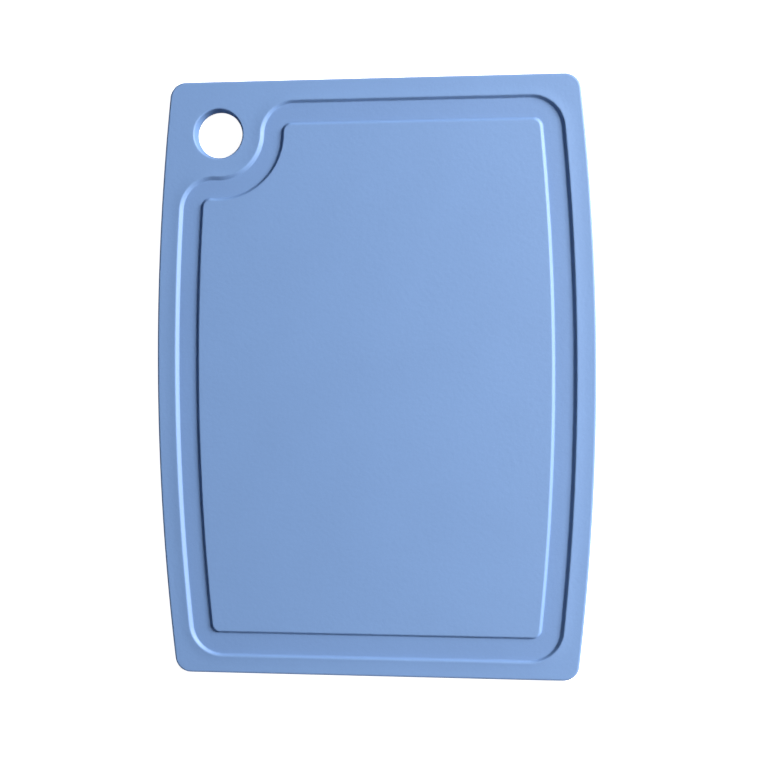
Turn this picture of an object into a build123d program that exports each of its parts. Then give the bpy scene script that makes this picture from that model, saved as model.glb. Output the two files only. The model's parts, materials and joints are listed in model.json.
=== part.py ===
from build123d import *
import math
import os

# Moulded plastic cutting board with a juice groove and a hanging hole, on four push-in rubber feet.
# Millimetres. The board lies flat: +Z comes out of the cutting face, +Y points to the end with the
# hanging hole, and the origin is the middle of the board in the plane that the feet stand on.

# Board outline
board_length = 350.0
board_width = 258.0          # across the middle, where the bowed sides are furthest apart
side_arc_radius = 1500.0     # the two long sides bow outwards
outline_corner_radius = 9.5
board_thickness = 8.0
top_edge_radius = 1.2
bottom_edge_radius = 1.0

# Juice groove
rim_width = 11.0             # from the outline to the groove's outer lip, along the bowed sides
rim_width_hole_end = 11.7
rim_width_plain_end = 10.7
groove_mouth_width = 14.1    # from the outer lip to the lip of the raised cutting face
plateau_from_hole_end = 26.0
plateau_from_plain_end = 25.1
groove_depth = 1.6
outer_wall_run = 2.0         # how far the outer wall runs inwards as it goes down
outer_wall_run_plain_end = 0.5
plateau_wall_run = 1.4       # how far the wall round the cutting face runs out as it goes down
plateau_wall_run_plain_end = 0.9
groove_corner_radius = 20.0  # at the outer lip
plateau_corner_radius = 4.2  # at the lip of the cutting face
lip_radius = 1.2
floor_radius = 1.0

# Hanging hole, in the corner that the groove steps around
hole_centre_x = -91.0
hole_from_end = 30.4         # from the hole's axis to the end of the board
hole_radius = 13.5           # straight land at the bottom of the wall
hole_land_length = 3.0
hole_mouth_radius = 14.5     # the drafted wall opens out to this at the cutting face
hole_mouth_edge_radius = 1.0
hole_bottom_edge_radius = 0.5
groove_step_radius = 25.1    # outer lip of the groove, round the hole's axis
plateau_step_radius = 39.0   # lip of the cutting face, round the hole's axis

# Feet and the seats they push into
foot_x = 85.0
foot_y = 105.0
foot_height = 1.5            # how far the feet hold the board off the table
foot_radius = 8.5
foot_edge_radius = 0.6
seat_depth = 0.8
seat_clearance = 0.2
socket_radius = 3.0
socket_depth = 4.6           # from the underside
stem_radius = 2.6
stem_length = 3.6
barb_radius = 2.95
barb_tip_radius = 2.1
barb_length = 0.9
barb_pitch = 1.8
barb_count = 2
dish_radius = 5.0
dish_depth = 0.3

# Mark left in the middle of the underside where the plastic came into the mould
gate_dimple_radius = 5.0
gate_dimple_depth = 0.4
gate_stub_radius = 1.2
gate_stub_height = 0.25

# Worked out from the sizes above
half_length = board_length / 2
half_width = board_width / 2
underside = foot_height
cutting_face = underside + board_thickness
groove_floor = cutting_face - groove_depth

# Insets from the outline: along the bowed sides, at the hole's end, at the plain end
outer_runs = (outer_wall_run, outer_wall_run, outer_wall_run_plain_end)
plateau_runs = (plateau_wall_run, plateau_wall_run, plateau_wall_run_plain_end)
outer_lip_insets = (rim_width, rim_width_hole_end, rim_width_plain_end)
outer_foot_insets = tuple(inset + run for inset, run in zip(outer_lip_insets, outer_runs))
plateau_lip_insets = (rim_width + groove_mouth_width, plateau_from_hole_end, plateau_from_plain_end)
plateau_foot_insets = tuple(inset - run for inset, run in zip(plateau_lip_insets, plateau_runs))
hole_centre = Vector(hole_centre_x, half_length - hole_from_end)
same_place = 0.01
feet = {
    "foot_front_left": (-foot_x, -foot_y),
    "foot_front_right": (foot_x, -foot_y),
    "foot_back_left": (-foot_x, foot_y),
    "foot_back_right": (foot_x, foot_y),
}


def barrel(side_inset, hole_end_inset, plain_end_inset):
    """The board's outline drawn in, with sharp corners: straight ends and bowed sides."""
    middle = half_width - side_inset
    arc_radius = side_arc_radius - side_inset
    hole_end = half_length - hole_end_inset
    plain_end = -half_length + plain_end_inset
    hole_end_corner, plain_end_corner = (
        middle - arc_radius + math.sqrt(arc_radius**2 - end**2) for end in (hole_end, plain_end)
    )
    with BuildSketch() as sketch:
        with BuildLine():
            Line((-plain_end_corner, plain_end), (plain_end_corner, plain_end))
            ThreePointArc((plain_end_corner, plain_end), (middle, 0), (hole_end_corner, hole_end))
            Line((hole_end_corner, hole_end), (-hole_end_corner, hole_end))
            ThreePointArc((-hole_end_corner, hole_end), (-middle, 0), (-plain_end_corner, plain_end))
        make_face()
    return sketch.sketch


def groove_line(insets, corner_radius, step_radius):
    """A closed line of the groove: the outline drawn in, stepping round the hanging hole."""
    clear_round_hole = Pos(hole_centre) * Circle(step_radius)
    largest = (barrel(*insets) - clear_round_hole).faces().sort_by(SortBy.AREA)[-1]
    stepped = Face(largest.outer_wire())
    return fillet(stepped.vertices(), corner_radius)


def sloping_block(lip, foot):
    """The solid between a line at the cutting face and a line at the groove's floor."""
    top = Pos(0, 0, cutting_face) * lip
    bottom = Pos(0, 0, groove_floor) * foot
    return loft([bottom.face(), top.face()], ruled=True)


def juice_groove():
    """The ring of material that the groove takes away, with a sloping wall on each side."""
    run = outer_wall_run
    outer = sloping_block(
        groove_line(outer_lip_insets, groove_corner_radius, groove_step_radius),
        groove_line(outer_foot_insets, groove_corner_radius - run, groove_step_radius + run),
    )
    run = plateau_wall_run
    plateau = sloping_block(
        groove_line(plateau_lip_insets, plateau_corner_radius, plateau_step_radius),
        groove_line(plateau_foot_insets, plateau_corner_radius + run, plateau_step_radius - run),
    )
    return outer - plateau


def column(centre, low, high, low_radius, high_radius=None):
    """A cylinder, or a cone where the second radius is given, from one height to another."""
    foot = Pos(centre.X, centre.Y, low)
    aligned = (Align.CENTER, Align.CENTER, Align.MIN)
    if high_radius is None:
        return foot * Cylinder(low_radius, high - low, align=aligned)
    return foot * Cone(low_radius, high_radius, high - low, align=aligned)


def hanging_hole():
    """The through hole: a straight land below and a drafted wall that opens out above."""
    land_top = underside + hole_land_length
    land = column(hole_centre, underside, land_top, hole_radius)
    mouth = column(hole_centre, land_top, cutting_face, hole_radius, hole_mouth_radius)
    return land + mouth


def foot_seat(centre):
    """The shallow seat and the blind socket that one foot pushes into."""
    seat = column(centre, underside, underside + seat_depth, foot_radius + seat_clearance)
    socket = column(centre, underside, underside + socket_depth, socket_radius)
    return seat + socket


def gate_mark():
    """The shallow dimple, with a low stub left standing in its middle."""
    dimple_top = underside + gate_dimple_depth
    dimple = column(Vector(), underside, dimple_top, gate_dimple_radius)
    stub = column(Vector(), dimple_top - gate_stub_height, dimple_top, gate_stub_radius)
    return dimple - stub


def edges_at(solid, height):
    """The edges that lie flat at one height."""
    return solid.edges().filter_by_position(Axis.Z, height, height)


def groove_lips(solid):
    """The edges of the groove at the cutting face, without the board's own outer edge."""
    half_rim = rim_width_plain_end / 2
    inside_rim = barrel(half_rim, half_rim, half_rim).face()
    lips = []
    for edge in edges_at(solid, cutting_face):
        middle = edge.position_at(0.5)
        if inside_rim.is_inside(Vector(middle.X, middle.Y)):
            lips.append(edge)
    return lips


def hole_rim(solid, height):
    """The edge of the hanging hole at one height."""
    axis_point = Vector(hole_centre.X, hole_centre.Y, height)
    circles = edges_at(solid, height).filter_by(GeomType.CIRCLE)
    return [
        circle
        for circle in circles
        if circle.radius < groove_step_radius / 2 + hole_radius / 2
        and (circle.arc_center - axis_point).length < same_place
    ]


def build_board():
    """The moulded board: rim, groove, raised cutting face, hanging hole and seats for the feet."""
    outline = fillet(barrel(0, 0, 0).vertices(), outline_corner_radius)
    board = extrude(Pos(0, 0, underside) * outline, board_thickness)
    board = fillet(edges_at(board, cutting_face), top_edge_radius)
    board = fillet(edges_at(board, underside), bottom_edge_radius)
    board -= juice_groove()
    board = fillet(groove_lips(board), lip_radius)
    board = fillet(edges_at(board, groove_floor), floor_radius)
    board -= hanging_hole()
    board = fillet(hole_rim(board, cutting_face), hole_mouth_edge_radius)
    board = fillet(hole_rim(board, underside), hole_bottom_edge_radius)
    for x, y in feet.values():
        board -= foot_seat(Vector(x, y))
    return board - gate_mark()


def build_foot(x, y):
    """A rubber foot: a dished head below, and a barbed stem that grips the socket."""
    centre = Vector(x, y)
    seat_top = underside + seat_depth
    stem_top = seat_top + stem_length
    foot = column(centre, 0, seat_top, foot_radius)
    foot = fillet(edges_at(foot, 0), foot_edge_radius)
    foot -= column(centre, 0, dish_depth, dish_radius)
    foot += column(centre, seat_top, stem_top - barb_length, stem_radius)
    for number in range(barb_count):
        barb_top = stem_top - number * barb_pitch
        foot += column(centre, barb_top - barb_length, barb_top, barb_radius, barb_tip_radius)
    return foot


def write(name, shape):
    shape.label = name
    export_step(shape, f"parts/{name}.step")


os.makedirs("parts", exist_ok=True)
write("board", build_board())
for name, (x, y) in feet.items():
    write(name, build_foot(x, y))
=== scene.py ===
import json
import math

import bpy
import numpy as np
from mathutils import Matrix, Vector
from mathutils.geometry import delaunay_2d_cdt


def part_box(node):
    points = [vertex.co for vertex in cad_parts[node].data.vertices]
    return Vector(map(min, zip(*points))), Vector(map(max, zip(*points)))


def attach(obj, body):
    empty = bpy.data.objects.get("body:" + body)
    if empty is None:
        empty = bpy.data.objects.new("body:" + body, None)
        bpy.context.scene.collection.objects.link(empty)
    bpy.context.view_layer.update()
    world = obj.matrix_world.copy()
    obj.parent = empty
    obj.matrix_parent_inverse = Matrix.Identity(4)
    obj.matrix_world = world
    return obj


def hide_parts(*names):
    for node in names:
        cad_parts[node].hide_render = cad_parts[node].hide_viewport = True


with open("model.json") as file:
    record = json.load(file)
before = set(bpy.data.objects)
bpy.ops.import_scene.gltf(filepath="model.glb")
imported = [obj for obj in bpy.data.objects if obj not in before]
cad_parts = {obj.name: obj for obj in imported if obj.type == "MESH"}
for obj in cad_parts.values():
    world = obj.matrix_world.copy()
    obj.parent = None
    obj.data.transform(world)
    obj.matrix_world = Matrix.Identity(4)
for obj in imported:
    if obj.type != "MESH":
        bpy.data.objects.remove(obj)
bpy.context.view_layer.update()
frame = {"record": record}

# A moulded plastic cutting board on four rubber feet. Metres, in the CAD frame: +Z out of the
# cutting face, +Y towards the end with the hanging hole.

mm = 0.001

# ---------------------------------------------------------------- sizes taken from the frame
board_low, board_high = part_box("board")
half_length = board_high.y
half_width = board_high.x
face_z = board_high.z
under_z = board_low.z
mounts = {mount["name"]: mount for mount in frame["record"]["mounts"]}
hole_centre = np.array(mounts["hanging_hole"]["pos_m"][:2])
hole_radius = mounts["hanging_hole"]["dims"]["r_mm"] * mm

# ---------------------------------------------------------------- shape of the moulding
side_arc_radius = 1500 * mm
outline_corner = 9.5 * mm
top_edge_radius = 1.2 * mm
bottom_edge_radius = 1.0 * mm

# Insets from the outline: along the bowed sides, at the hole's end, at the plain end.
rim_insets = np.array([11.0, 11.7, 10.7]) * mm
plateau_insets = np.array([25.1, 26.0, 25.1]) * mm
groove_depth = 1.6 * mm
outer_runs = np.array([2.0, 1.6, 0.5]) * mm      # how far the outer wall runs in as it goes down
plateau_runs = np.array([1.4, 1.4, 0.9]) * mm     # and the wall round the cutting face runs out
groove_corner = 20.0 * mm
plateau_corner = 4.2 * mm
lip_radius = 1.2 * mm
floor_radius = 1.0 * mm
groove_step = 25.1 * mm       # groove's outer lip, round the hanging hole
plateau_step = 39.0 * mm      # lip of the cutting face, round the hanging hole

# The rim sinks a little as it leaves the groove's lip, as a moulded rim does.
crown_slope = 0.08
crown_reach = 7.0 * mm

hole_mouth_radius = 14.5 * mm
hole_land_top = under_z + 3.0 * mm
hole_mouth_edge = 1.0 * mm
hole_bottom_edge = 0.5 * mm

seat_radius = 8.7 * mm
seat_depth = 0.8 * mm
seat_edge = 0.15 * mm         # bevel round the mouth of a foot's seat
socket_radius = 3.0 * mm
socket_depth = 4.6 * mm
gate_dimple_radius = 5.0 * mm
gate_dimple_depth = 0.4 * mm
gate_dimple_edge = 0.1 * mm
gate_stub_radius = 1.2 * mm
gate_stub_height = 0.25 * mm

fill_spacing = 5.0 * mm       # distance between mesh points on the flat faces
unevenness = 0.03 * mm        # how far the flat faces wander from true


# ---------------------------------------------------------------- plane curves
side_count = 56
end_count = 36
corner_count = 14
step_count = 26
ring_count = 96
same_point = 1e-7
fill_clearance = 0.6          # share of fill_spacing kept free between the grid and a rim


def arc(centre, radius, start, end, count):
    """Points along an arc, without its last one, so that stretches join with no doubles."""
    angles = np.linspace(start, end, count, endpoint=False)
    return centre + radius * np.column_stack([np.cos(angles), np.sin(angles)])


def line(start, end, count):
    """Points along a straight stretch, without its last one."""
    share = np.linspace(0, 1, count, endpoint=False)[:, None]
    return np.array(start) * (1 - share) + np.array(end) * share


def circle(centre, radius):
    return arc(centre, radius, 0, math.tau, ring_count)


def angle_to(start, end):
    return math.atan2(end[1] - start[1], end[0] - start[0])


def corner_centre(side_inset, end_inset, corner):
    """Centre of the rounded corner between a straight end and the right-hand bowed side."""
    y = half_length - end_inset - corner
    reach = side_arc_radius - side_inset - corner
    x = half_width - side_arc_radius + math.sqrt(reach**2 - y**2)
    return np.array([x, y])


def outline_loop(inset, corner):
    """The board's outline drawn in by inset, anticlockwise from the lower right-hand corner."""
    radius = side_arc_radius - inset
    end = half_length - inset
    bow = np.array([half_width - side_arc_radius, 0])
    x, y = corner_centre(inset, inset, corner)
    turn = angle_to(bow, (x, y))
    return np.vstack([
        arc(bow, radius, -turn, turn, side_count),
        arc((x, y), corner, turn, math.pi / 2, corner_count),
        line((x, end), (-x, end), end_count),
        arc((-x, y), corner, math.pi / 2, math.pi - turn, corner_count),
        arc(-bow, radius, math.pi - turn, math.pi + turn, side_count),
        arc((-x, -y), corner, math.pi + turn, 1.5 * math.pi, corner_count),
        line((-x, -end), (x, -end), end_count),
        arc((x, -y), corner, 1.5 * math.pi, math.tau - turn, corner_count),
    ])


def groove_loop(insets, corner, step):
    """The same, with its own insets at the ends, and stepping round the hanging hole with an arc
    and a rounded corner each side of it."""
    side_inset, hole_end_inset, plain_end_inset = insets
    radius = side_arc_radius - side_inset
    end = half_length - hole_end_inset
    plain_end = plain_end_inset - half_length
    bow = np.array([half_width - side_arc_radius, 0])
    x, y = corner_centre(side_inset, hole_end_inset, corner)
    plain_x, plain_y = corner_centre(side_inset, plain_end_inset, corner)
    turn = angle_to(bow, (x, y))
    plain_turn = angle_to(bow, (plain_x, plain_y))
    hole_x, hole_y = hole_centre
    beside_x = hole_x + math.sqrt((step + corner) ** 2 - (y - hole_y) ** 2)
    beside = np.array([beside_x, y])
    below = lower_crossing(-bow, radius - corner, hole_centre, step + corner)
    side_start = angle_to(-bow, below)
    return np.vstack([
        arc(bow, radius, -plain_turn, turn, side_count),
        arc((x, y), corner, turn, math.pi / 2, corner_count),
        line((x, end), (beside_x, end), end_count),
        arc(beside, corner, math.pi / 2, angle_to(beside, hole_centre) % math.tau, corner_count),
        arc(
            hole_centre, step,
            angle_to(hole_centre, beside), angle_to(hole_centre, below), step_count,
        ),
        arc(below, corner, angle_to(below, hole_centre), side_start, corner_count),
        arc(-bow, radius, side_start, math.pi + plain_turn, side_count),
        arc((-plain_x, -plain_y), corner, math.pi + plain_turn, 1.5 * math.pi, corner_count),
        line((-plain_x, plain_end), (plain_x, plain_end), end_count),
        arc((plain_x, -plain_y), corner, 1.5 * math.pi, math.tau - plain_turn, corner_count),
    ])


def lower_crossing(centre_a, radius_a, centre_b, radius_b):
    """Where two circles cross, the lower of the two points."""
    apart = centre_b - centre_a
    distance = np.linalg.norm(apart)
    along = (radius_a**2 - radius_b**2 + distance**2) / (2 * distance)
    aside = math.sqrt(radius_a**2 - along**2)
    unit = apart / distance
    across = np.array([-unit[1], unit[0]])
    crossings = [centre_a + along * unit + side * aside * across for side in (-1, 1)]
    return min(crossings, key=lambda point: point[1])


# ---------------------------------------------------------------- mesh building
class Skin:
    """Collects loops of points and the faces between them."""

    def __init__(self):
        self.points = []
        self.faces = []

    def loop(self, plane_points, z):
        """Adds a closed loop at one height, or a height for each point. Returns its indices."""
        first = len(self.points)
        heights = np.broadcast_to(z, len(plane_points))
        self.points += [(x, y, h) for (x, y), h in zip(plane_points, heights)]
        return list(range(first, len(self.points)))

    def band(self, loop_a, loop_b):
        """Quads between two loops of equal count. They face outward where loop_b lies outside or
        below loop_a."""
        count = len(loop_a)
        for i in range(count):
            j = (i + 1) % count
            self.faces.append((loop_a[i], loop_b[i], loop_b[j], loop_a[j]))

    def bands(self, loops):
        for loop_a, loop_b in zip(loops, loops[1:]):
            self.band(loop_a, loop_b)

    def fill(self, loops, height, upward):
        """A sheet inside the first loop and outside the others, with points on a grid in it.
        height gives z at arrays of x and y, for the grid's points."""
        rings = [np.array([self.points[i][:2] for i in loop]) for loop in loops]
        grid = grid_inside(rings)
        known = [i for loop in loops for i in loop]
        flat = [Vector(point) for point in np.vstack(rings + [grid])]
        edges = []
        start = 0
        for ring in rings:
            count = len(ring)
            edges += [(start + i, start + (i + 1) % count) for i in range(count)]
            start += count
        first = len(self.points)
        self.points += [(x, y, z) for (x, y), z in zip(grid, height(grid[:, 0], grid[:, 1]))]
        index = known + list(range(first, len(self.points)))
        where, _, triangles, sources = delaunay_2d_cdt(flat, edges, [], 0, same_point)[:4]
        middles = np.array([
            sum((where[i] for i in triangle), Vector((0, 0))) / 3 for triangle in triangles
        ])
        keep = between(middles, rings)
        for triangle in (triangles[i] for i in np.flatnonzero(keep)):
            corners = [index[sources[i][0]] for i in triangle]
            self.faces.append(tuple(corners if upward else reversed(corners)))

    def cap(self, loop, z, upward):
        """Closes a round loop with a fan to its middle."""
        ring = np.array([self.points[i][:2] for i in loop])
        middle = len(self.points)
        self.points.append((*ring.mean(0), z))
        for i in range(len(loop)):
            corners = (loop[i], loop[(i + 1) % len(loop)], middle)
            self.faces.append(corners if upward else tuple(reversed(corners)))

    def build(self, name):
        mesh = bpy.data.meshes.new(name)
        mesh.from_pydata(self.points, [], self.faces)
        mesh.validate()
        mesh.polygons.foreach_set("use_smooth", [True] * len(mesh.polygons))
        piece = bpy.data.objects.new(name, mesh)
        bpy.context.scene.collection.objects.link(piece)
        return piece


def inside(points, ring):
    """Which points lie inside a closed ring, by counting the ring's edges to their right."""
    x, y = points[:, 0][:, None], points[:, 1][:, None]
    start, end = ring, np.roll(ring, -1, axis=0)
    spans = (start[:, 1] > y) != (end[:, 1] > y)
    rise = np.where(start[:, 1] == end[:, 1], 1, end[:, 1] - start[:, 1])
    crossing = start[:, 0] + (y - start[:, 1]) * (end[:, 0] - start[:, 0]) / rise
    return (spans & (x < crossing)).sum(1) % 2 == 1


def between(points, rings):
    """Which points lie inside the first ring and outside all the others."""
    keep = inside(points, rings[0])
    for ring in rings[1:]:
        keep &= ~inside(points, ring)
    return keep


def grid_inside(rings):
    """Grid points inside the first ring and outside the others, kept clear of every ring."""
    low, high = rings[0].min(0), rings[0].max(0)
    counts = np.ceil((high - low) / fill_spacing).astype(int)
    xs = np.linspace(low[0], high[0], counts[0] + 1)
    ys = np.linspace(low[1], high[1], counts[1] + 1)
    grid = np.array([(x, y) for y in ys for x in xs])
    keep = between(grid, rings)
    for ring in rings:
        nearest = np.array([np.hypot(*(ring - point).T).min() for point in grid])
        keep &= nearest > fill_spacing * fill_clearance
    return grid[keep]


def wander(x, y):
    """The slight unevenness of a moulded face: a few long waves that run across each other."""
    waves = (
        np.sin(x / (9 * mm) + 1.3 * np.sin(y / (23 * mm)))
        + np.sin(y / (11 * mm) + 1.7 * np.sin(x / (19 * mm)) + 0.8)
        + np.sin((x + y) / (14 * mm) + 2.1)
    )
    return unevenness * waves / 3


# ---------------------------------------------------------------- the board
arc_steps = 5
support = 0.35 * mm           # a ring just inside each rounded edge keeps the flat faces flat


def rounded_wall(runs, drop, upper_radius, lower_radius):
    """Profile of a sloping wall with both edges rounded: how far it has run at each depth, for
    each of several runs."""
    slope = np.arctan2(drop, runs)
    upper_reach = upper_radius * np.tan(slope / 2)
    lower_reach = lower_radius * np.tan(slope / 2)
    shares = np.linspace(0, 1, arc_steps + 1)
    upper = [
        (upper_radius * np.sin(slope * share) - upper_reach, upper_radius * (1 - np.cos(slope * share)))
        for share in shares
    ]
    lower = [
        (runs + lower_reach - lower_radius * np.sin(slope * share),
         drop - lower_radius * (1 - np.cos(slope * share)))
        for share in reversed(shares)
    ]
    before = (upper[0][0] - support, 0 * runs)
    after = (lower[-1][0] + support, drop + 0 * runs)
    return [before] + upper + lower + [after]


def depth_round(plane, down, insets, corner):
    """Depth at each point of a loop of a wall whose profile is steeper at the plain end. The
    corner between shares the two depths out by the way it turns."""
    sides, _, plain_end = down
    x, y = corner_centre(insets[0], insets[2], corner)
    turned = np.arctan2(-y - plane[:, 1], np.abs(plane[:, 0]) - x)
    share = np.where(plane[:, 1] < -y, np.clip(turned / (math.pi / 2), 0, 1), 0)
    return sides + (plain_end - sides) * share


def crown(distance):
    """How far the rim lies below the groove's lip, at a distance out from the lip."""
    share = np.clip(distance / crown_reach, 0, 1)
    return crown_slope * crown_reach * (share - share**2 / 2)


def quarter_round(radius):
    """A rounded edge, as pairs of distance out and depth down."""
    turns = [math.pi / 2 * i / arc_steps for i in range(arc_steps + 1)]
    return [(radius * math.sin(turn), radius * (1 - math.cos(turn))) for turn in turns]


def outer_edge(skin, rim_z):
    """The board's edge: rounded above, upright, rounded below. Returns its top and bottom loops."""
    profile = [(top_edge_radius + support, rim_z)]
    profile += [(top_edge_radius - out, rim_z - down) for out, down in quarter_round(top_edge_radius)]
    profile += [
        (bottom_edge_radius - out, under_z + up)
        for out, up in reversed(quarter_round(bottom_edge_radius))
    ]
    profile += [(bottom_edge_radius + support, under_z)]
    loops = [skin.loop(outline_loop(inset, outline_corner - inset), z) for inset, z in profile]
    skin.bands(loops)
    return loops[0], loops[-1]


# rings of the mesh on the sinking rim, from its far side in to the lip
rim_ring_shares = (1, 0.8, 0.6, 0.4, 0.25, 0.12)
# rings of the mesh on the groove's floor, going inward
floor_ring_shares = (0.2, 0.4, 0.6, 0.8)


def groove(skin):
    """Both walls and the floor of the juice groove. Returns the loop out on the rim and the
    loop round the raised cutting face."""
    outer_wall = rounded_wall(outer_runs, groove_depth, lip_radius, floor_radius)
    plateau_wall = rounded_wall(plateau_runs, groove_depth, lip_radius, floor_radius)
    lip_out = -outer_wall[0][0][0]
    rim_rings = []
    for share in rim_ring_shares:
        distance = lip_out + (crown_reach - lip_out) * share
        plane = groove_loop(rim_insets - distance, groove_corner + distance, groove_step - distance)
        rim_rings.append(skin.loop(plane, face_z - crown(distance - lip_out)))
    outer = []
    for into, down in outer_wall:
        plane = groove_loop(rim_insets + into, groove_corner - into[0], groove_step + into[0])
        depth = depth_round(plane, down, rim_insets, groove_corner)
        outer.append(skin.loop(plane, face_z - depth))
    plateau = []
    for into, down in plateau_wall:
        plane = groove_loop(plateau_insets - into, plateau_corner + into[0], plateau_step - into[0])
        depth = depth_round(plane, down, plateau_insets, plateau_corner)
        plateau.append(skin.loop(plane, face_z - depth))
    floor = []
    outer_foot, plateau_foot = (
        np.array([skin.points[i] for i in loops[-1]]) for loops in (outer, plateau)
    )
    for share in floor_ring_shares:
        ring = outer_foot * (1 - share) + plateau_foot * share
        floor.append(skin.loop(ring[:, :2], ring[:, 2] + wander(*ring[:, :2].T) / 2))
    inward = rim_rings + outer + floor + plateau[::-1]
    skin.bands(inward[::-1])
    return rim_rings[0], plateau[0]


def hanging_hole(skin, rim_z):
    """The hole's wall: rounded mouth, drafted wall, straight land, rounded bottom edge."""
    draft = math.atan2(hole_mouth_radius - hole_radius, face_z - hole_land_top)
    turns = [(math.pi / 2 - draft) * i / arc_steps for i in range(arc_steps + 1)]
    reach = hole_mouth_edge * math.tan((math.pi / 2 - draft) / 2)
    start = hole_mouth_radius + reach
    profile = [(start + support, rim_z)]
    profile += [
        (start - hole_mouth_edge * math.sin(turn), rim_z - hole_mouth_edge * (1 - math.cos(turn)))
        for turn in turns
    ]
    profile += [(hole_radius, hole_land_top)]
    profile += [
        (hole_radius + hole_bottom_edge - out, under_z + up)
        for out, up in reversed(quarter_round(hole_bottom_edge))
    ]
    profile += [(hole_radius + hole_bottom_edge + support, under_z)]
    loops = [skin.loop(circle(hole_centre, radius), z) for radius, z in profile]
    skin.bands(loops[::-1])
    return loops[0], loops[-1]


def foot_seat(skin, centre):
    """The shallow seat and blind socket over one foot. Returns the loop on the underside."""
    seat_z = under_z + seat_depth
    socket_z = under_z + socket_depth
    profile = [
        (seat_radius + seat_edge, under_z), (seat_radius, under_z + seat_edge), (seat_radius, seat_z),
        (socket_radius, seat_z), (socket_radius, socket_z),
    ]
    loops = [skin.loop(circle(centre, radius), z) for radius, z in profile]
    skin.bands(loops)
    skin.cap(loops[-1], socket_z, upward=False)
    return loops[0]


def gate_mark(skin):
    """The moulding's gate mark: a shallow dimple with a low stub in it."""
    ceiling = under_z + gate_dimple_depth
    stub_z = ceiling - gate_stub_height
    edge = gate_dimple_edge
    profile = [
        (gate_dimple_radius + edge, under_z), (gate_dimple_radius, under_z + edge),
        (gate_dimple_radius - 2 * edge, ceiling),
        (gate_stub_radius, ceiling), (gate_stub_radius, stub_z),
    ]
    loops = [skin.loop(circle(np.zeros(2), radius), z) for radius, z in profile]
    skin.bands(loops)
    skin.cap(loops[-1], stub_z, upward=False)
    return loops[0]


def make_board():
    skin = Skin()
    rim_z = face_z - crown(crown_reach)
    top_loop, bottom_loop = outer_edge(skin, rim_z)
    rim_loop, plateau_loop = groove(skin)
    hole_top, hole_bottom = hanging_hole(skin, rim_z)
    seats = [foot_seat(skin, centre) for centre in foot_centres.values()]
    gate = gate_mark(skin)
    underside = [bottom_loop, hole_bottom, gate] + seats
    skin.fill([top_loop, rim_loop, hole_top], lambda x, y: rim_z + wander(x, y), upward=True)
    skin.fill([plateau_loop], lambda x, y: face_z + wander(x, y), upward=True)
    skin.fill(underside, lambda x, y: under_z + wander(y, x), upward=False)
    return skin.build("moulded_board")


def add_weighted_normals(piece):
    """Keeps the flat faces shading flat right up to their rounded edges."""
    modifier = piece.modifiers.new("weighted_normals", "WEIGHTED_NORMAL")
    modifier.weight = 100
    modifier.keep_sharp = True


# ---------------------------------------------------------------- the feet
foot_radius = 8.5 * mm
foot_edge = 0.6 * mm
foot_top_bevel = 0.1 * mm
stand_ring_width = 2.6 * mm
dish_depth = 0.3 * mm
dish_slope = ((0, dish_depth), (0.2 * mm, 0.05 * mm), (0.4 * mm, 0))   # out from the dish's edge
ridge_radii = (1.2 * mm, 2.6 * mm, 4.0 * mm)
ridge_height = 0.16 * mm
ridge_section = ((0, 0), (0.15 * mm, ridge_height), (0.45 * mm, ridge_height), (0.6 * mm, 0))
stem_radius = 2.6 * mm
stem_length = 3.6 * mm
barb_radius = 2.95 * mm
barb_tip_radius = 2.1 * mm
barb_length = 0.9 * mm


def foot_profile():
    """Half section of a foot from the middle of its underside, over the rim, to the stem's tip."""
    seat_z = under_z + seat_depth
    stem_top = seat_z + stem_length
    dish_edge = foot_radius - foot_edge - stand_ring_width
    profile = [(0, dish_depth)]
    for ridge in ridge_radii:
        profile += [(ridge + out, dish_depth - down) for out, down in ridge_section]
    profile += [(dish_edge + out, z) for out, z in dish_slope]
    profile += [
        (foot_radius - foot_edge + out, down)
        for out, down in quarter_round(foot_edge)
    ]
    profile += [
        (foot_radius, seat_z - foot_top_bevel), (foot_radius - foot_top_bevel, seat_z),
        (stem_radius, seat_z),
    ]
    for barb_top in (stem_top - 2 * barb_length, stem_top):
        profile += [
            (stem_radius, barb_top - barb_length), (barb_radius, barb_top - barb_length),
            (barb_tip_radius, barb_top),
        ]
    return profile + [(0, stem_top)]


def make_foot(name, centre):
    skin = Skin()
    profile = foot_profile()
    loops = [skin.loop(circle(centre, radius), z) for radius, z in profile[1:-1]]
    skin.bands(loops[::-1])
    skin.cap(loops[0], profile[0][1], upward=False)
    skin.cap(loops[-1], profile[-1][1], upward=True)
    return skin.build(name)


# ---------------------------------------------------------------- materials
def new_material(name):
    """A material with its principled shader, and the object's own coordinates in metres."""
    material = bpy.data.materials.new(name)
    material.use_nodes = True
    nodes = material.node_tree.nodes
    where = nodes.new("ShaderNodeTexCoord").outputs["Object"]
    return material, nodes, material.node_tree.links, nodes["Principled BSDF"], where


def noise(nodes, links, where, grain, detail=3.0, roughness=0.55):
    """Noise whose grains are about the given size across, from 0 to 1."""
    texture = nodes.new("ShaderNodeTexNoise")
    texture.inputs["Scale"].default_value = 1 / grain
    texture.inputs["Detail"].default_value = detail
    texture.inputs["Roughness"].default_value = roughness
    links.new(where, texture.inputs["Vector"])
    return texture.outputs["Fac"]


def ramp(nodes, links, value, stops):
    """A colour or grey for a value, between stops of (value, colour)."""
    node = nodes.new("ShaderNodeValToRGB")
    elements = node.color_ramp.elements
    while len(elements) < len(stops):
        elements.new(0.5)
    for element, (place, colour) in zip(elements, stops):
        element.position = place
        element.color = (*colour, 1)
    links.new(value, node.inputs["Fac"])
    return node.outputs["Color"]


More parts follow.
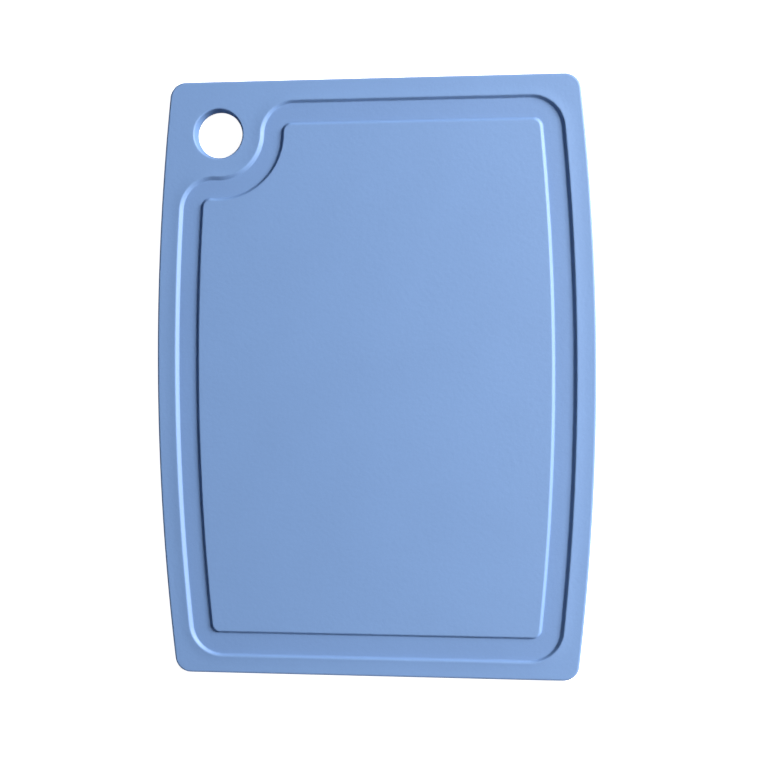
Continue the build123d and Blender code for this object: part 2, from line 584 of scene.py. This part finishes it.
def mix(nodes, links, kind, share, first, second):
    """Two colours mixed; share is a number or another node's output."""
    node = nodes.new("ShaderNodeMix")
    node.data_type = "RGBA"
    node.blend_type = kind
    if isinstance(share, float):
        node.inputs["Factor"].default_value = share
    else:
        links.new(share, node.inputs["Factor"])
    links.new(first, node.inputs["A"])
    links.new(second, node.inputs["B"])
    return node.outputs["Result"]


def bump(nodes, links, height, depth, under=None):
    """Bump of a real depth in metres, laid over another bump."""
    node = nodes.new("ShaderNodeBump")
    node.inputs["Strength"].default_value = 1.0
    node.inputs["Distance"].default_value = depth
    links.new(height, node.inputs["Height"])
    if under:
        links.new(under, node.inputs["Normal"])
    return node.outputs["Normal"]


def spread(nodes, links, value, low, high, start=0, end=1):
    """A value from start to end spread between two others."""
    node = nodes.new("ShaderNodeMapRange")
    node.inputs["From Min"].default_value = start
    node.inputs["From Max"].default_value = end
    node.inputs["To Min"].default_value = low
    node.inputs["To Max"].default_value = high
    links.new(value, node.inputs["Value"])
    return node.outputs["Result"]


def height_of(nodes, links, where):
    node = nodes.new("ShaderNodeSeparateXYZ")
    links.new(where, node.inputs["Vector"])
    return node.outputs["Z"]


def scaled(colour, factor):
    return tuple(channel * factor for channel in colour)


def grey(level):
    return (level,) * 3


board_blue = (0.172, 0.304, 0.568)
groove_shade = (0.92, 0.93, 0.95)   # painted shade: the groove's floor is painted darker than the raised faces
groove_shade_z = face_z - 1.3 * mm
raised_z = face_z - 0.5 * mm
white = (1.0, 1.0, 1.0)
board_speckle = (0.96, 0.965, 0.97)
board_cloud_size = 45 * mm
board_speckle_size = 1.3 * mm
board_roughness = (0.58, 0.72)
coarse_grain = 2.2 * mm
coarse_grain_depth = 0.060 * mm
fine_grain = 0.6 * mm
fine_grain_depth = 0.014 * mm


def board_plastic():
    """Matt moulded polyethylene: one blue, faintly clouded, with a fine spark-eroded grain, and painted
    shade on the groove's floor.
    """
    material, nodes, links, shader, where = new_material("board_plastic")
    clouds = noise(nodes, links, where, board_cloud_size, 2.0)
    speckle = noise(nodes, links, where, board_speckle_size, 2.0)
    raised = spread(nodes, links, height_of(nodes, links, where), 0, 1, groove_shade_z, raised_z)
    darker, lighter = scaled(board_blue, 0.985), scaled(board_blue, 1.015)
    base = ramp(nodes, links, clouds, [(0.3, darker), (0.7, lighter)])
    tint = ramp(nodes, links, speckle, [(0.3, board_speckle), (0.7, white)])
    # painted shade: darker on the groove's floor, fading out up its walls to the raised faces
    groove_painted_shade = ramp(nodes, links, raised, [(0.0, groove_shade), (1.0, white)])
    grained = mix(nodes, links, "MULTIPLY", 1.0, base, tint)
    links.new(mix(nodes, links, "MULTIPLY", 1.0, grained, groove_painted_shade), shader.inputs["Base Color"])
    links.new(spread(nodes, links, speckle, *board_roughness), shader.inputs["Roughness"])
    shader.inputs["Specular IOR Level"].default_value = 1.0
    coarse_height = noise(nodes, links, where, coarse_grain, 1.0)
    fine_height = noise(nodes, links, where, fine_grain, 2.0)
    coarse = bump(nodes, links, coarse_height, coarse_grain_depth)
    links.new(bump(nodes, links, fine_height, fine_grain_depth, coarse), shader.inputs["Normal"])
    return material


foot_dark = (0.045, 0.060, 0.085)
foot_dust_size = 4 * mm
foot_pit_size = 0.35 * mm
foot_pit_depth = 0.03 * mm
foot_roughness = (0.68, 0.9)


def foot_rubber():
    """Soft matt rubber: dark slate, dusty in patches, with a fine pitted skin."""
    material, nodes, links, shader, where = new_material("foot_rubber")
    dust = noise(nodes, links, where, foot_dust_size, 4.0)
    pits = noise(nodes, links, where, foot_pit_size, 3.0)
    base = ramp(nodes, links, dust, [(0.35, foot_dark), (0.75, scaled(foot_dark, 1.7))])
    links.new(base, shader.inputs["Base Color"])
    links.new(spread(nodes, links, dust, *foot_roughness), shader.inputs["Roughness"])
    shader.inputs["Specular IOR Level"].default_value = 0.35
    links.new(bump(nodes, links, pits, foot_pit_depth), shader.inputs["Normal"])
    return material


def maths(nodes, links, kind, first, second=0.0):
    """One step of arithmetic on one or two values, each a number or another node's output."""
    node = nodes.new("ShaderNodeMath")
    node.operation = kind
    for socket, value in zip(node.inputs, (first, second)):
        if isinstance(value, float):
            socket.default_value = value
        else:
            links.new(value, socket)
    return node.outputs["Value"]


def distance_from(nodes, links, x, y, centre):
    """Distance of x, y from a fixed point of the floor."""
    across = maths(nodes, links, "SUBTRACT", x, float(centre[0]))
    along = maths(nodes, links, "SUBTRACT", y, float(centre[1]))
    squares = [maths(nodes, links, "MULTIPLY", side, side) for side in (across, along)]
    return maths(nodes, links, "SQRT", maths(nodes, links, "ADD", *squares))


def clear_of_board(nodes, links, where):
    """How far a point of the floor lies clear of the board standing over it; below 0 under it.
    The floor seen through the hanging hole counts as clear."""
    split = nodes.new("ShaderNodeSeparateXYZ")
    links.new(where, split.inputs["Vector"])
    x, y = split.outputs["X"], split.outputs["Y"]
    bow_centre = (half_width - side_arc_radius, 0)
    from_bow = distance_from(nodes, links, maths(nodes, links, "ABSOLUTE", x), y, bow_centre)
    beside = maths(nodes, links, "SUBTRACT", from_bow, side_arc_radius)
    beyond = maths(nodes, links, "SUBTRACT", maths(nodes, links, "ABSOLUTE", y), half_length)
    outside = maths(nodes, links, "MAXIMUM", beside, beyond)
    from_hole = distance_from(nodes, links, x, y, hole_centre)
    in_hole = maths(nodes, links, "SUBTRACT", hole_radius + gap_shade, from_hole)
    return maths(nodes, links, "MAXIMUM", outside, in_hole)


def floor_paint():
    """Pale seamless floor, lit from within so that it stays pale, with a painted shadow in the gap
    under the board and just outside its edge.
    """
    material, nodes, links, shader, where = new_material("floor_paint")
    clouds = noise(nodes, links, where, floor_cloud_size, 3.0)
    base = ramp(nodes, links, clouds, [(0.3, grey(0.84)), (0.7, grey(0.87))])
    links.new(base, shader.inputs["Base Color"])
    shader.inputs["Roughness"].default_value = 0.7
    clear = spread(nodes, links, clear_of_board(nodes, links, where), 0, 1, -gap_shade, gap_shade)
    # painted shadow: the glow drops to near black under the board and dims just outside its edge
    glow_and_painted_shadow = ramp(nodes, links, clear, [(0.0, grey(0.02)), (0.5, grey(0.75)), (1.0, white)])
    links.new(glow_and_painted_shadow, shader.inputs["Emission Color"])
    shader.inputs["Emission Strength"].default_value = floor_glow
    return material


# painted shade: near-black tones of the sheet that stands in for the shade under the board
shade_sheet_dark = (0.045, 0.055, 0.075)
shade_sheet_light = (0.055, 0.065, 0.085)
shade_sheet_cloud_size = 20 * mm


def painted_shade_sheet():
    """Near-black painted shade for the sheet under the board, which the hole's wall sees below it and
    in its reflections.
    """
    material, nodes, links, shader, where = new_material("painted_shade_sheet")
    clouds = noise(nodes, links, where, shade_sheet_cloud_size, 2.0)
    base = ramp(nodes, links, clouds, [(0.3, shade_sheet_dark), (0.7, shade_sheet_light)])
    links.new(base, shader.inputs["Base Color"])
    shader.inputs["Roughness"].default_value = 0.9
    return material


def wall_paint():
    """The studio's far wall, as pale as the floor."""
    material, _, _, shader, _ = new_material("wall_paint")
    shader.inputs["Base Color"].default_value = (*grey(0.85), 1)
    shader.inputs["Emission Color"].default_value = (*white, 1)
    shader.inputs["Emission Strength"].default_value = wall_glow
    return material


# ---------------------------------------------------------------- the studio
floor_glow = 0.97
gap_shade = 2.0 * mm                # how quickly the painted shadow darkens the floor at the board's edge
wall_glow = 0.95
floor_size = 12.0
floor_cloud_size = 0.4
wall_radius = 6.0
shade_inset = 1.0 * mm              # of the sheet under the board, from the board's outline
shade_z = 0.1 * mm
air_above = (0.035, 0.050, 0.080)
air_below = grey(0.55)              # stands in for what a pale floor would throw back
horizon_blend = 0.02

key_azimuth = math.radians(24)      # from +X towards +Y
key_elevation = math.radians(27.5)
key_distance = 2.6
key_width = 1.15
key_height = 1.3
key_power = 158.0

# A weak fill from the plain end evens the light out along the board.
fill_azimuth = math.radians(-55)
fill_elevation = math.radians(40)
fill_distance = 1.5
fill_size = 0.8
fill_power = 3.4


def make_floor():
    """The floor. Only the camera sees it, so that it neither lights the board nor shows in it."""
    mesh = bpy.data.meshes.new("floor")
    half = floor_size / 2
    corners = [(-half, -half, 0), (half, -half, 0), (half, half, 0), (-half, half, 0)]
    mesh.from_pydata(corners, [], [(0, 1, 2, 3)])
    floor = bpy.data.objects.new("floor", mesh)
    bpy.context.scene.collection.objects.link(floor)
    floor.data.materials.append(floor_paint())
    floor.visible_diffuse = False
    floor.visible_glossy = False


def make_under_shade():
    """A dark sheet under the board, where the floor lies in the board's shade. It keeps the light
    from below out of the gap and the hanging hole. The camera does not see it."""
    skin = Skin()
    rim = skin.loop(outline_loop(shade_inset, outline_corner - shade_inset), shade_z)
    skin.cap(rim, shade_z, upward=True)
    shade = skin.build("under_shade")
    shade.data.materials.append(painted_shade_sheet())
    shade.visible_camera = False
    shade.visible_shadow = False


def make_wall():
    """A dome round the studio. It only closes the view: it neither lights nor shades the board."""
    bpy.ops.mesh.primitive_uv_sphere_add(segments=64, ring_count=32, radius=wall_radius)
    wall = bpy.context.object
    wall.name = "studio_wall"
    wall.data.materials.append(wall_paint())
    wall.visible_diffuse = False
    wall.visible_glossy = False
    wall.visible_shadow = False


def direction(azimuth, elevation):
    """Unit vector at an azimuth from +X towards +Y and an elevation above the floor."""
    level = math.cos(elevation)
    return Vector((level * math.cos(azimuth), level * math.sin(azimuth), math.sin(elevation)))


def make_light(name, towards, distance, width, height, power):
    """A rectangular area light that faces the middle of the board."""
    light = bpy.data.lights.new(name, "AREA")
    light.shape = "RECTANGLE"
    light.size = width
    light.size_y = height
    light.energy = power
    lamp = bpy.data.objects.new(name, light)
    lamp.location = towards * distance
    lamp.rotation_euler = towards.to_track_quat("Z", "Y").to_euler()
    lamp.visible_camera = False
    bpy.context.scene.collection.objects.link(lamp)


def make_world():
    """Dim bluish air above, and below the horizon the light that comes back from a pale floor."""
    world = bpy.data.worlds.new("studio_air")
    world.use_nodes = True
    nodes, links = world.node_tree.nodes, world.node_tree.links
    where = nodes.new("ShaderNodeTexCoord").outputs["Generated"]
    height = height_of(nodes, links, where)
    above = spread(nodes, links, height, 0, 1, -horizon_blend, horizon_blend)
    air = ramp(nodes, links, above, [(0.0, air_below), (1.0, air_above)])
    links.new(air, nodes["Background"].inputs["Color"])
    bpy.context.scene.world = world


camera_lean_x = math.radians(5.52)  # how far the view leans from straight down, towards +X
camera_lean_y = math.radians(1.92)  # and towards +Y
camera_roll = math.radians(-0.17)
camera_distance = 0.672
camera_lens = 54.0
camera_sensor = 36.0
camera_clip = (0.01, 50.0)
aim = Vector((6.45 * mm, -2.47 * mm, face_z))


def make_camera():
    data = bpy.data.cameras.new("camera")
    data.lens = camera_lens
    data.sensor_width = camera_sensor
    data.clip_start, data.clip_end = camera_clip
    camera = bpy.data.objects.new("camera", data)
    back = Vector((math.tan(camera_lean_x), math.tan(camera_lean_y), 1)).normalized()
    right = Vector((0, 1, 0)).cross(back).normalized()
    up = back.cross(right)
    turn = Matrix((right, up, back)).transposed().to_4x4() @ Matrix.Rotation(camera_roll, 4, "Z")
    camera.matrix_world = Matrix.Translation(aim + back * camera_distance) @ turn
    bpy.context.scene.collection.objects.link(camera)
    bpy.context.scene.camera = camera


# ---------------------------------------------------------------- putting it together
foot_nodes = [part["node"] for part in frame["record"]["subparts"] if part["node"].startswith("foot")]
foot_centres = {}
for node in foot_nodes:
    low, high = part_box(node)
    foot_centres[node] = np.array([(low.x + high.x) / 2, (low.y + high.y) / 2])

board = make_board()
add_weighted_normals(board)
board.data.materials.append(board_plastic())
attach(board, "root")
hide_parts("board")

rubber = foot_rubber()
for node, centre in foot_centres.items():
    foot = make_foot("rubber_" + node, centre)
    foot.data.materials.append(rubber)
    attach(foot, "root")
    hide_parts(node)

make_floor()
make_under_shade()
make_wall()
towards_key = direction(key_azimuth, key_elevation)
towards_fill = direction(fill_azimuth, fill_elevation)
make_light("key", towards_key, key_distance, key_width, key_height, key_power)
make_light("fill", towards_fill, fill_distance, fill_size, fill_size, fill_power)
make_world()
make_camera()
bpy.context.scene.view_settings.view_transform = "Standard"
